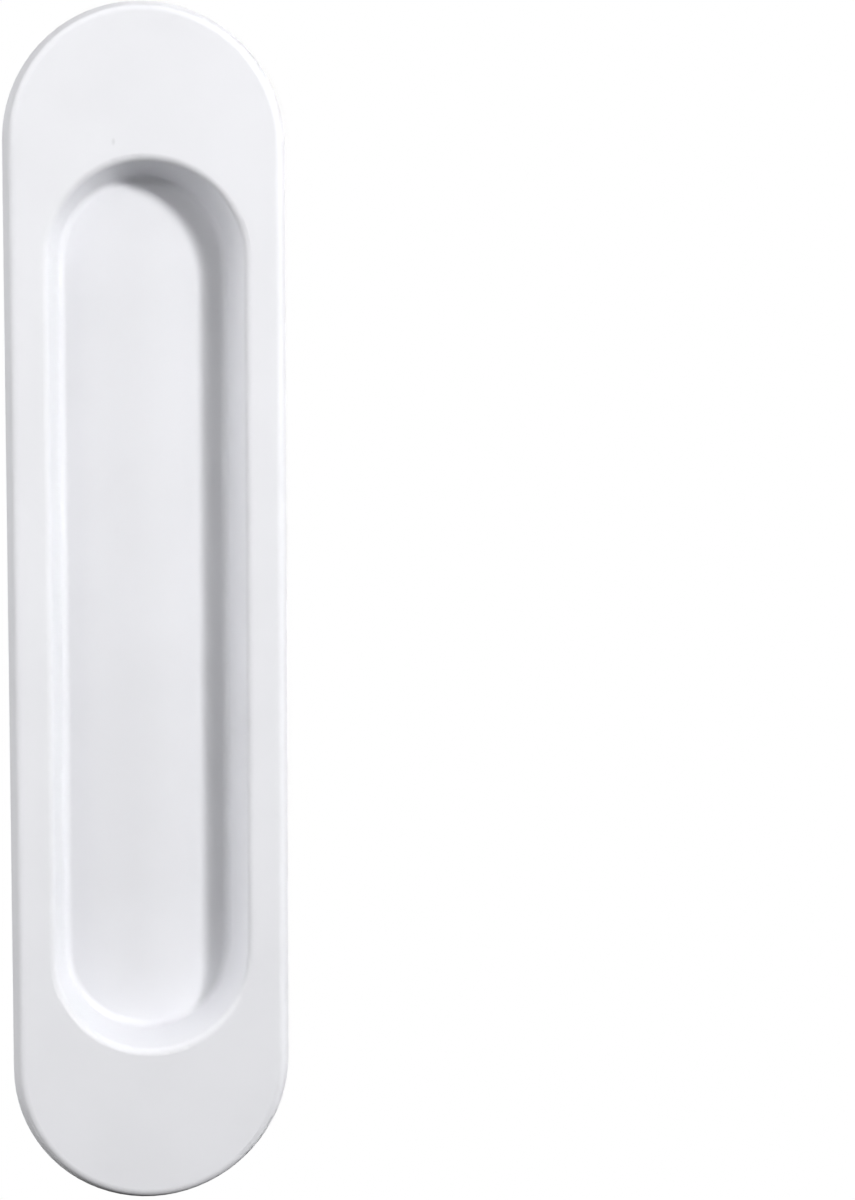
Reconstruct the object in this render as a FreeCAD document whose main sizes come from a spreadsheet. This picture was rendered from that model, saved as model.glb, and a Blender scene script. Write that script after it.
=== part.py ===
import FreeCAD, Part
import math
import os

import Sketcher

# White pocket pull for a sliding door, moulded in one piece: a flat flange with rounded
# ends, a drafted finger pocket sunk into it, and a thin-walled cup behind the flange.
#
# Frame in millimetres. Z runs up along the pull, X across it, and Y into the door. The
# origin is the middle of the flange's flat back, which lies on the door at Y = 0, so the
# face looks towards -Y and the cup stands into the door towards +Y.

NODE = "pocket_pull"

# Driving dimensions: alias, value, what it sizes
DIMENSIONS = [
    ("overall_length", 150.0, "flange length on the door"),
    ("overall_width", 34.8, "flange width on the door"),
    ("flange_thickness", 2.3, "door surface to front face"),
    ("side_slope", 20.0, "lean of the flange's side, in degrees"),
    ("edge_round", 1.0, "round between the side and the face"),
    ("mouth_length", 111.1, "pocket length at the face"),
    ("mouth_width", 24.3, "pocket width at the face"),
    ("mouth_round", 1.0, "round where the face turns into the pocket"),
    ("pocket_depth", 6.5, "front face to pocket floor"),
    ("wall_draft", 14.5, "lean of the pocket's wall, in degrees"),
    ("floor_round", 1.1, "round between pocket wall and floor"),
    ("cup_wall", 1.4, "thickness of the cup's wall and floor"),
    ("rib_count", 4, "grip ribs along each side of the cup"),
    ("rib_margin", 7.5, "last rib to the end of the cup's straight side"),
    ("rib_width", 1.6, "width of one grip rib"),
    ("rib_proud", 0.3, "how far a rib stands out past the cup's root"),
    ("rib_reach", 4.0, "length of a rib from the flange's back"),
    ("rib_ramp", 1.2, "length of the lead-in at a rib's end"),
]

# Every round-ended outline of the pull is the same spine, this long from end centre to
# end centre, given its own width
SPINE = "(Sizes.mouth_length - Sizes.mouth_width)"

# The flange's own outline, and its outline at the face after its side has leaned in
FLANGE_WIDTH = "Sizes.overall_width"
FLANGE_SPINE = "(Sizes.overall_length - Sizes.overall_width)"
FACE_WIDTH = "(Sizes.overall_width - 2 * Sizes.flange_thickness * tan(Sizes.side_slope))"

# The face is a flat rim round the mouth, and the rounds at its two edges leave some of it flat
RIM = f"(({FACE_WIDTH} - Sizes.mouth_width) / 2)"
MOUTH_ROUND = f"min(Sizes.mouth_round; {RIM} * 0.45)"
EDGE_ROUND = f"min(Sizes.edge_round; {RIM} * 0.45)"

# The cup follows the pocket at an even wall
CUP_DEPTH = "(Sizes.pocket_depth - Sizes.flange_thickness + Sizes.cup_wall)"
CUP_ROOT_WIDTH = (
    "(Sizes.mouth_width - 2 * Sizes.flange_thickness * tan(Sizes.wall_draft)"
    " + 2 * Sizes.cup_wall / cos(Sizes.wall_draft))"
)
CUP_END_WIDTH = f"({CUP_ROOT_WIDTH} - 2 * {CUP_DEPTH} * tan(Sizes.wall_draft))"
FLOOR_WIDTH = "(Sizes.mouth_width - 2 * Sizes.pocket_depth * tan(Sizes.wall_draft))"

# How a sketch constraint names the points of a line or an arc, and the sketch's own axes
START, END, CENTRE = range(1, 4)
LEVEL_AXIS, UPRIGHT_AXIS = range(-1, -3, -1)


def make_sheet(doc):
    """The spreadsheet that holds the driving dimensions."""
    sheet = doc.addObject("Spreadsheet::Sheet", "Sizes")
    for row, (alias, value, meaning) in enumerate(DIMENSIONS, start=1):
        sheet.set(f"A{row}", meaning)
        sheet.set(f"B{row}", str(value))
        sheet.setAlias(f"B{row}", alias)
    doc.recompute()
    return sheet


def new_sketch(body, name, plane_role, offset):
    """A sketch on one of the body's origin planes, moved out along its normal."""
    sketch = body.newObject("Sketcher::SketchObject", name)
    plane = [item for item in body.Origin.OriginFeatures if item.Role == plane_role]
    sketch.AttachmentSupport = [(plane[0], "")]
    sketch.MapMode = "FlatFace"
    sketch.setExpression("AttachmentOffset.Base.z", offset)
    return sketch


def bind(sketch, expression, *constraint):
    """Adds a sized constraint to the sketch and ties it to the expression."""
    index = sketch.addConstraint(Sketcher.Constraint(*constraint))
    sketch.setExpression(f"Constraints[{index}]", expression)


def slot_sketch(body, name, spine, width, offset):
    """A round-ended outline, standing on the face's side of the door surface by offset."""
    sketch = new_sketch(body, name, "XZ_Plane", offset)
    radius = float(sketch.evalExpression(f"{width} / 2"))
    half_spine = float(sketch.evalExpression(f"{spine} / 2"))
    normal = FreeCAD.Vector(0, 0, 1)
    upper = Part.Circle(FreeCAD.Vector(0, half_spine, 0), normal, radius)
    lower = Part.Circle(FreeCAD.Vector(0, -half_spine, 0), normal, radius)
    corners = ((1, 1), (-1, 1), (-1, -1), (1, -1))
    points = [FreeCAD.Vector(x * radius, y * half_spine, 0) for x, y in corners]
    top, left, bottom, right = sketch.addGeometry([
        Part.ArcOfCircle(upper, 0, math.pi),
        Part.LineSegment(points[1], points[2]),
        Part.ArcOfCircle(lower, math.pi, 2 * math.pi),
        Part.LineSegment(points[3], points[0]),
    ])
    ring = [top, left, bottom, right]
    for piece, following in zip(ring, ring[1:] + ring[:1]):
        sketch.addConstraint(Sketcher.Constraint("Tangent", piece, END, following, START))
    sketch.addConstraint(Sketcher.Constraint("PointOnObject", top, CENTRE, UPRIGHT_AXIS))
    sketch.addConstraint(
        Sketcher.Constraint("Symmetric", top, CENTRE, bottom, CENTRE, LEVEL_AXIS)
    )
    bind(sketch, f"{width} / 2", "Radius", top, radius)
    bind(sketch, spine, "DistanceY", bottom, CENTRE, top, CENTRE, 2 * half_spine)
    return sketch


def rib_sketch(body, name, offset):
    """Side view of one grip rib on each side of the cup, with its lead-in at the end."""
    sketch = new_sketch(body, name, "XY_Plane", offset)
    buried = "Sizes.cup_wall / 2"
    root_x = f"{CUP_ROOT_WIDTH} / 2 - {buried}"
    crest_x = f"{CUP_ROOT_WIDTH} / 2 + Sizes.rib_proud"
    end_x = f"{root_x} - Sizes.rib_reach * tan(Sizes.wall_draft)"
    ramp_y = "Sizes.rib_reach - Sizes.rib_ramp"
    outline = [(root_x, "0"), (crest_x, "0"), (crest_x, ramp_y), (end_x, "Sizes.rib_reach")]
    values = [tuple(float(sketch.evalExpression(text)) for text in point) for point in outline]
    right, left = [], []
    for lines, side in ((right, 1), (left, -1)):
        points = [FreeCAD.Vector(side * x, y, 0) for x, y in values]
        for first, second in zip(points, points[1:] + points[:1]):
            lines.append(sketch.addGeometry(Part.LineSegment(first, second)))
        for line, following in zip(lines, lines[1:] + lines[:1]):
            sketch.addConstraint(Sketcher.Constraint("Coincident", line, END, following, START))
    for line, mirrored in zip(right, left):
        sketch.addConstraint(
            Sketcher.Constraint("Symmetric", line, START, mirrored, START, UPRIGHT_AXIS)
        )
    for line, point, value in zip(right, outline, values):
        bind(sketch, point[0], "DistanceX", LEVEL_AXIS, START, line, START, value[0])
        if point[1] == "0":
            sketch.addConstraint(Sketcher.Constraint("PointOnObject", line, START, LEVEL_AXIS))
        else:
            bind(sketch, point[1], "DistanceY", LEVEL_AXIS, START, line, START, value[1])
    return sketch


def leaning_block(body, kind, name, sketch, length, lean, backwards=False):
    """A pad or pocket of the outline, whose sides lean inwards as it leaves the sketch."""
    block = body.newObject(f"PartDesign::{kind}", name)
    block.Profile = sketch
    block.setExpression("Length", length)
    block.setExpression("TaperAngle", f"-{lean}")
    block.Reversed = backwards
    return block


def slot_edges(feature, level, spine, width):
    """Names of the feature's edges that lie on a round-ended outline at Y = level."""
    y = float(feature.evalExpression(level))
    half_spine = float(feature.evalExpression(f"{spine} / 2"))
    radius = float(feature.evalExpression(f"{width} / 2"))
    tolerance = 0.001

    def on_outline(point):
        off_end = max(abs(point.z) - half_spine, 0.0)
        from_spine = math.hypot(point.x, off_end)
        return abs(point.y - y) < tolerance and abs(from_spine - radius) < tolerance

    names = []
    for index, edge in enumerate(feature.Shape.Edges, start=1):
        if all(on_outline(point) for point in edge.discretize(5)):
            names.append(f"Edge{index}")
    if not names:
        raise RuntimeError(f"{feature.Label}: no edges at Y = {level}")
    return names


def round_edges(body, name, feature, edges, radius):
    """A fillet along the named edges of the feature."""
    fillet = body.newObject("PartDesign::Fillet", name)
    fillet.Base = (feature, edges)
    fillet.setExpression("Radius", radius)
    body.Document.recompute()
    return fillet


def make_flange(body):
    """The flat plate on the door, its side leaning in towards the face."""
    outline = slot_sketch(body, "FlangeOutline", FLANGE_SPINE, FLANGE_WIDTH, "0")
    return leaning_block(body, "Pad", "Flange", outline, "Sizes.flange_thickness", "Sizes.side_slope")


def make_cup(body):
    """The outside of the cup, standing back from the flange into the door."""
    outline = slot_sketch(body, "CupOutline", SPINE, CUP_ROOT_WIDTH, "0")
    return leaning_block(body, "Pad", "Cup", outline, CUP_DEPTH, "Sizes.wall_draft", backwards=True)


def make_ribs(body):
    """Low ribs that square up the leaning cup and grip the slot cut in the door."""
    lowest = f"Sizes.rib_margin - {SPINE} / 2"
    rib = body.newObject("PartDesign::Pad", "GripRib")
    rib.Profile = rib_sketch(body, "RibOutline", lowest)
    rib.setExpression("Length", "Sizes.rib_width")
    rib.Midplane = True
    row = body.newObject("PartDesign::LinearPattern", "RibRow")
    row.Originals = [rib]
    row.Direction = (rib.Profile[0], ["N_Axis"])
    row.setExpression("Length", f"{SPINE} - 2 * Sizes.rib_margin")
    row.setExpression("Occurrences", "Sizes.rib_count")
    body.Tip = row
    return row


def make_pocket(body):
    """The finger pocket, cut back from the face."""
    face = "Sizes.flange_thickness"
    outline = slot_sketch(body, "MouthOutline", SPINE, "Sizes.mouth_width", face)
    return leaning_block(
        body, "Pocket", "FingerPocket", outline, "Sizes.pocket_depth", "Sizes.wall_draft"
    )


def finish_edges(body, feature):
    """Rounds the cup's far edge, the pocket's floor, its mouth and the flange's face."""
    doc = body.Document
    doc.recompute()
    face = "-Sizes.flange_thickness"
    floor = "Sizes.pocket_depth - Sizes.flange_thickness"
    cup_end = slot_edges(feature, CUP_DEPTH, SPINE, CUP_END_WIDTH)
    feature = round_edges(body, "CupRound", feature, cup_end, "Sizes.floor_round + Sizes.cup_wall")
    floor_edge = slot_edges(feature, floor, SPINE, FLOOR_WIDTH)
    feature = round_edges(body, "FloorRound", feature, floor_edge, "Sizes.floor_round")
    mouth = slot_edges(feature, face, SPINE, "Sizes.mouth_width")
    feature = round_edges(body, "MouthRound", feature, mouth, MOUTH_ROUND)
    edge = slot_edges(feature, face, FLANGE_SPINE, FACE_WIDTH)
    return round_edges(body, "EdgeRound", feature, edge, EDGE_ROUND)


def check(doc, body):
    """Stops if any object failed or the finished solid isn't one sound solid."""
    for item in doc.Objects:
        if "Invalid" in item.State or "Error" in item.State:
            raise RuntimeError(f"{item.Label} failed: {item.State}")
    shape = body.Shape
    if shape.isNull() or not shape.isValid() or len(shape.Solids) != 1:
        raise RuntimeError(f"{body.Label} isn't one valid solid")


doc = FreeCAD.newDocument("PocketPull")
make_sheet(doc)
pull = doc.addObject("PartDesign::Body", "PocketPull")
pull.Label = NODE
make_flange(pull)
make_cup(pull)
ribs = make_ribs(pull)
doc.recompute()
uncut_volume = ribs.Shape.Volume
pocket = make_pocket(pull)
doc.recompute()
if pocket.Shape.Volume >= uncut_volume:
    raise RuntimeError("the finger pocket removed nothing")
finish_edges(pull, pocket)
doc.recompute()
check(doc, pull)

os.makedirs("parts", exist_ok=True)
pull.Shape.exportStep(f"parts/{pull.Label}.step")
box = pull.Shape.optimalBoundingBox()
print(f"{pull.Label}: {pull.Shape.Volume / 1000:.2f} cm3, {len(pull.Shape.Faces)} faces")
print(f"{box.XLength:.2f} x {box.YLength:.2f} x {box.ZLength:.2f} mm")
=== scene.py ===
import math

import bmesh
import bpy
from bpy.props import FloatProperty, FloatVectorProperty, PointerProperty
from mathutils import Euler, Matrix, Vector


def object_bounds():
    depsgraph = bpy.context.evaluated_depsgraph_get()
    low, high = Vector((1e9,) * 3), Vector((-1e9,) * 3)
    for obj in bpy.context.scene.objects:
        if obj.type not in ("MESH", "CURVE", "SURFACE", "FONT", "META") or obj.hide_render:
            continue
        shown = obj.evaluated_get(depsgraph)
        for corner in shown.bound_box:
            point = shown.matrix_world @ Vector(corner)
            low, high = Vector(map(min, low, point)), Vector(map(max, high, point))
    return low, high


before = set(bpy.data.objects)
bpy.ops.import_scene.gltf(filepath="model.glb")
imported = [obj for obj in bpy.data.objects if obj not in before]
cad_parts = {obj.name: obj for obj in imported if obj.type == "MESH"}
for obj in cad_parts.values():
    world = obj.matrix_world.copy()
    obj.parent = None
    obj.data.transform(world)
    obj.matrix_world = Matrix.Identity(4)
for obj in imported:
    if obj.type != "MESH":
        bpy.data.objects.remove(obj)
CAD_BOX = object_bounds()

bl_info = {
    "name": "Pocket Door Pull",
    "version": (1, 0, 0),
    "blender": (4, 5, 0),
    "location": "View3D > Sidebar > Pocket Pull",
    "description": "Moulded white finish, studio and camera for a pocket door pull",
    "category": "Object",
}

NODE = "pocket_pull"
MM = 0.001

# Plastic: how many clouds go to a metre, how dark a cloud and the speck are beside clean plastic,
# how far a cloud moves the roughness, and how much longer than wide the speck is
CLOUD_SCALE = 60.0
CLOUD_SHADE = 0.97
SPECK_SHADE = 0.86
CLOUD_ROUGHNESS = 0.12
SPECK_STRETCH = 2.0

# Floor: sides of the round board, how many patches of mottle go to a metre, how dark they are,
# the board's roughness and how far the mottle moves it, and how many grains of tooth go to a
# metre and how deep they are
FLOOR_SIDES = 96
MOTTLE_SCALE = 14.0
MOTTLE_SHADE = 0.96
FLOOR_ROUGHNESS = 0.75
MOTTLE_ROUGHNESS = 0.1
TOOTH_SCALE = 900.0
TOOTH_DEPTH = 0.05 * MM

# Camera: width of its sensor in millimetres, and the nearest and farthest that it sees in metres
SENSOR = 36.0
NEAREST = 0.01
FARTHEST = 20.0

# Light that comes evenly from all round, as a share of full white
AMBIENT = 0.01

# Grid angle of a panel that has no grid, in degrees
BARE = 180.0

# The studio's round soft panels: name, lean from straight in front of the face, turn about that
# line from the pull's right towards its top, distance, width, grid angle and power in watts, with
# angles in degrees and lengths in metres. A panel with a grid is aimed at the pool of light on
# the pull's upper left, and a bare one at the pull's middle
PANELS = (
    ("key", 43.0, 27.0, 1.50, 0.20, 40.0, 0.70),
    ("key_upper", 38.0, 33.0, 1.50, 0.14, 40.0, 0.14),
    ("front", 12.0, 60.0, 1.50, 0.40, 40.0, 0.06),
    ("front_left", 40.0, 160.0, 1.50, 0.50, 40.0, 0.21),
    ("front_right", 52.0, 0.0, 1.50, 0.40, 40.0, 0.12),
    ("low_left", 66.0, 178.0, 1.50, 0.40, 40.0, 0.20),
    ("top_right", 84.0, 30.0, 1.50, 0.40, BARE, 1.4),
    ("top", 76.0, 95.0, 1.50, 0.40, BARE, 1.2),
    ("top_left", 80.0, 120.0, 1.50, 0.40, BARE, 2.3),
    ("left", 80.0, 150.0, 1.50, 0.40, BARE, 3.9),
    ("right", 94.0, 5.0, 1.50, 0.45, BARE, 3.2),
    ("edge_right", 118.0, 5.0, 1.50, 0.45, BARE, 3.0),
    ("edge_top_right", 96.0, 45.0, 1.50, 0.45, BARE, 2.3),
    ("edge_left", 96.0, 175.0, 1.50, 0.45, BARE, 4.7),
    ("back_top", 160.0, 75.0, 2.50, 0.60, BARE, 36.0),
    ("back_low", 165.0, 200.0, 1.60, 0.50, BARE, 6.0),
)


class Wire:
    """A shader socket that can stand in a sum, so that maths on a surface reads as maths."""

    def __init__(self, tree, socket):
        self.tree = tree
        self.socket = socket

    def math(self, operation, first, second):
        return self.tree.add("ShaderNodeMath", {"operation": operation}, {0: first, 1: second})

    def __add__(self, other):
        return self.math("ADD", self, other)

    def __radd__(self, other):
        return self.math("ADD", other, self)

    def __sub__(self, other):
        return self.math("SUBTRACT", self, other)

    def __rsub__(self, other):
        return self.math("SUBTRACT", other, self)

    def __mul__(self, other):
        return self.math("MULTIPLY", self, other)

    def __rmul__(self, other):
        return self.math("MULTIPLY", other, self)

    def __truediv__(self, other):
        return self.math("DIVIDE", self, other)

    def __rtruediv__(self, other):
        return self.math("DIVIDE", other, self)

    def smooth(self, low, high):
        """0 at low, 1 at high, and soft at both ends."""
        ends = {"Value": self, "From Min": low, "From Max": high}
        return self.tree.add("ShaderNodeMapRange", {"interpolation_type": "SMOOTHSTEP"}, ends)


class Tree:
    """A node tree that is filled through one method."""

    def __init__(self, owner):
        owner.use_nodes = True
        self.nodes = owner.node_tree.nodes
        self.links = owner.node_tree.links
        self.nodes.clear()

    def add(self, kind, settings=None, sockets=None, output=0):
        """Adds a node, sets it up, fills its sockets and returns one of its outputs, if it has any."""
        node = self.nodes.new(kind)
        for name, value in (settings or {}).items():
            setattr(node, name, value)
        for name, value in (sockets or {}).items():
            if isinstance(value, Wire):
                self.links.new(value.socket, node.inputs[name])
            else:
                node.inputs[name].default_value = value
        return Wire(self, node.outputs[output]) if node.outputs else None

    def place(self):
        """The place on the object, in metres."""
        return self.add("ShaderNodeTexCoord", output=3)

    def noise(self, place, scale, detail):
        """Soft noise with about scale blotches to a metre."""
        return self.add("ShaderNodeTexNoise", {}, {"Vector": place, "Scale": scale, "Detail": detail})

    def bump(self, height, depth):
        """A bent normal from a height, with its full depth in metres."""
        return self.add("ShaderNodeBump", {}, {"Height": height, "Distance": depth})

    def vector(self, operation, *values, output=0):
        return self.add("ShaderNodeVectorMath", {"operation": operation}, dict(enumerate(values)), output)

    def blend(self, share, first, second):
        """One colour going over into another."""
        values = {"Factor": share, "A": first, "B": second}
        return self.add("ShaderNodeMix", {"data_type": "RGBA"}, values, output=2)

    def surface(self, values):
        """A shader with these socket values, as the material's surface."""
        shader = self.add("ShaderNodeBsdfPrincipled", {}, values)
        self.add("ShaderNodeOutputMaterial", {}, {"Surface": shader})


class PULL_PG_finish(bpy.types.PropertyGroup):
    colour: FloatVectorProperty(
        name="Plastic colour",
        description="Colour of the white moulding",
        subtype="COLOR",
        size=3,
        min=0.0,
        max=1.0,
        default=(0.87, 0.873, 0.905),
    )
    roughness: FloatProperty(
        name="Roughness",
        description="How far the satin surface scatters a reflection",
        subtype="FACTOR",
        min=0.0,
        max=1.0,
        default=0.5,
    )
    grain: FloatProperty(
        name="Grain size",
        description="Width of one grain of the mould's fine texture",
        unit="LENGTH",
        default=0.22 * MM,
    )
    grain_depth: FloatProperty(
        name="Grain depth",
        description="Height of the mould's fine texture",
        unit="LENGTH",
        default=0.004 * MM,
    )
    speck_place: FloatVectorProperty(
        name="Speck place",
        description="Middle of the small grey speck on the face",
        subtype="XYZ_LENGTH",
        default=(-4.05 * MM, -2.3 * MM, 57.6 * MM),
    )
    speck_size: FloatProperty(
        name="Speck size",
        description="Half the speck's width",
        unit="LENGTH",
        default=0.32 * MM,
    )


class PULL_PG_studio(bpy.types.PropertyGroup):
    light_level: FloatProperty(
        name="Light level",
        description="Share of the panels' full power",
        subtype="FACTOR",
        min=0.0,
        soft_max=2.0,
        default=1.0,
    )
    pool: FloatVectorProperty(
        name="Pool of light",
        description="Middle of the pool of light that the gridded panels throw",
        subtype="XYZ_LENGTH",
        default=(-30.0 * MM, 0.0, 36.0 * MM),
    )
    floor_radius: FloatProperty(
        name="Floor radius",
        description="Reach of the round floor",
        unit="LENGTH",
        default=0.8,
    )
    floor_drop: FloatProperty(
        name="Floor drop",
        description="How far the floor lies below the pull",
        unit="LENGTH",
        default=0.35,
    )
    floor_colour: FloatVectorProperty(
        name="Floor colour",
        description="Colour of the pale floor",
        subtype="COLOR",
        size=3,
        min=0.0,
        max=1.0,
        default=(0.88, 0.88, 0.87),
    )
    floor_glow: FloatProperty(
        name="Floor glow",
        description="Light that the floor gives off by itself, as a light table does",
        min=0.0,
        default=0.25,
    )
    lens: FloatProperty(
        name="Lens",
        description="Focal length of the camera",
        unit="CAMERA",
        default=79.72,
    )
    camera_turn: FloatVectorProperty(
        name="Camera turn",
        description="How the camera is turned about X, Y and Z, about Z first",
        subtype="EULER",
        default=(math.radians(90.0 - 4.904), math.radians(-11.363), math.radians(-0.948)),
    )
    camera_place: FloatVectorProperty(
        name="Camera place",
        description="From the middle of the face to the camera, along the camera's own right, up and back",
        subtype="XYZ_LENGTH",
        default=(34.395 * MM, 1.384 * MM, 330.0 * MM),
    )


def paint(colour, shade=1.0):
    """A colour as a shader socket takes it, darkened to a share of itself."""
    return (*(shade * channel for channel in colour), 1.0)


def speck(tree, finish, place):
    """1 in the middle of the small upright speck on the face, and 0 off it."""
    offset = tree.vector("SUBTRACT", place, tuple(finish.speck_place))
    squeezed = tree.vector("MULTIPLY", offset, (1.0, 1.0, 1.0 / SPECK_STRETCH))
    distance = tree.vector("LENGTH", squeezed, output=1)
    return 1.0 - (distance / finish.speck_size).smooth(low=0.1, high=1.0)


def plastic(finish):
    """Satin white moulded plastic."""
    material = bpy.data.materials.new("satin_white_moulding")
    tree = Tree(material)
    place = tree.place()
    cloud = tree.noise(place, CLOUD_SCALE, detail=3.0)
    grain = tree.noise(place, 1.0 / finish.grain, detail=2.0)
    clean = paint(finish.colour)
    clouded = tree.blend(cloud.smooth(low=0.35, high=0.7), clean, paint(finish.colour, CLOUD_SHADE))
    values = {
        "Base Color": tree.blend(speck(tree, finish, place), clouded, paint(finish.colour, SPECK_SHADE)),
        "Roughness": finish.roughness + (cloud - 0.5) * CLOUD_ROUGHNESS,
        "Normal": tree.bump(grain, finish.grain_depth),
    }
    tree.surface(values)
    return material


def board(studio):
    """Pale matt board with a faint mottle."""
    material = bpy.data.materials.new("pale_board")
    tree = Tree(material)
    place = tree.place()
    mottle = tree.noise(place, MOTTLE_SCALE, detail=4.0)
    tooth = tree.noise(place, TOOTH_SCALE, detail=2.0)
    pale = paint(studio.floor_colour)
    dim = paint(studio.floor_colour, MOTTLE_SHADE)
    values = {
        "Base Color": tree.blend(mottle.smooth(low=0.3, high=0.7), pale, dim),
        "Roughness": FLOOR_ROUGHNESS + (mottle - 0.5) * MOTTLE_ROUGHNESS,
        "Normal": tree.bump(tooth, TOOTH_DEPTH),
        "Emission Color": pale,
        "Emission Strength": studio.floor_glow,
    }
    tree.surface(values)
    return material


def floor(studio):
    """A round board below the pull, which takes light but sends none back to the pull."""
    bm = bmesh.new()
    below = CAD_BOX[0].z - studio.floor_drop
    bmesh.ops.create_circle(bm, cap_ends=True, segments=FLOOR_SIDES, radius=studio.floor_radius)
    bmesh.ops.translate(bm, verts=bm.verts, vec=(0.0, 0.0, below))
    bmesh.ops.recalc_face_normals(bm, faces=bm.faces)
    mesh = bpy.data.meshes.new("studio_floor")
    bm.to_mesh(mesh)
    bm.free()
    mesh.materials.append(board(studio))
    table = bpy.data.objects.new("studio_floor", mesh)
    table.visible_diffuse = False
    table.visible_glossy = False
    bpy.context.scene.collection.objects.link(table)


def panel(studio, name, lean, turn, distance, width, grid, power):
    """A round panel of soft light that faces its aim, with its spread held in by a grid."""
    lean, turn = math.radians(lean), math.radians(turn)
    sideways = math.sin(lean)
    direction = Vector((sideways * math.cos(turn), -math.cos(lean), sideways * math.sin(turn)))
    aim = Vector(studio.pool) if grid < BARE else Vector()
    light = bpy.data.lights.new(name, "AREA")
    light.shape = "DISK"
    light.size = width
    light.spread = math.radians(grid)
    light.energy = power * studio.light_level
    lamp = bpy.data.objects.new(name, light)
    lamp.location = aim + direction * distance
    lamp.rotation_mode = "QUATERNION"
    lamp.rotation_quaternion = direction.to_track_quat("Z", "Y")
    lamp.visible_camera = False
    bpy.context.scene.collection.objects.link(lamp)


def surroundings():
    """White to the camera, and a faint even light for everything else."""
    world = bpy.data.worlds.new("studio")
    bpy.context.scene.world = world
    tree = Tree(world)
    seen = tree.add("ShaderNodeLightPath", output=0)
    strength = seen + (1.0 - seen) * AMBIENT
    light = tree.add("ShaderNodeBackground", {}, {"Color": paint((1.0, 1.0, 1.0)), "Strength": strength})
    tree.add("ShaderNodeOutputWorld", {}, {"Surface": light})


def camera(studio):
    """The camera at the photograph's viewing angle, looking down at the pull from its upper left."""
    data = bpy.data.cameras.new("camera")
    data.lens = studio.lens
    data.sensor_width = SENSOR
    data.clip_start = NEAREST
    data.clip_end = FARTHEST
    view = bpy.data.objects.new("camera", data)
    view.rotation_mode = "ZYX"
    view.rotation_euler = Euler(studio.camera_turn, "ZYX")
    face_centre = Vector((0.0, CAD_BOX[0].y, 0.0))
    view.location = face_centre + view.rotation_euler.to_matrix() @ Vector(studio.camera_place)
    bpy.context.scene.collection.objects.link(view)
    bpy.context.scene.camera = view


class PULL_OT_dress(bpy.types.Operator):
    """Give the pull its satin white moulded finish"""

    bl_idname = "pocket_pull.dress"
    bl_label = "Dress the Pull"

    def execute(self, context):
        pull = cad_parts[NODE]
        material = plastic(context.scene.pull_finish)
        for holder in pull.material_slots:
            holder.material = material
        return {"FINISHED"}


class PULL_OT_stage(bpy.types.Operator):
    """Set up the floor, the lights and the camera"""

    bl_idname = "pocket_pull.stage"
    bl_label = "Set the Stage"

    def execute(self, context):
        studio = context.scene.pull_studio
        context.scene.view_settings.view_transform = "Standard"
        surroundings()
        camera(studio)
        floor(studio)
        for row in PANELS:
            panel(studio, *row)
        return {"FINISHED"}


class PULL_PT_panel(bpy.types.Panel):
    bl_label = "Pocket Pull"
    bl_space_type = "VIEW_3D"
    bl_region_type = "UI"
    bl_category = "Pocket Pull"

    def draw(self, context):
        for group in (context.scene.pull_finish, context.scene.pull_studio):
            for name in group.__annotations__:
                self.layout.prop(group, name)
        for operator in (PULL_OT_dress, PULL_OT_stage):
            self.layout.operator(operator.bl_idname)


CLASSES = (PULL_PG_finish, PULL_PG_studio, PULL_OT_dress, PULL_OT_stage, PULL_PT_panel)


def register():
    for entry in CLASSES:
        bpy.utils.register_class(entry)
    bpy.types.Scene.pull_finish = PointerProperty(type=PULL_PG_finish)
    bpy.types.Scene.pull_studio = PointerProperty(type=PULL_PG_studio)


def unregister():
    del bpy.types.Scene.pull_studio
    del bpy.types.Scene.pull_finish
    for entry in reversed(CLASSES):
        bpy.utils.unregister_class(entry)


def main():
    register()
    bpy.ops.pocket_pull.dress()
    bpy.ops.pocket_pull.stage()


if __name__ == "__main__":
    main()
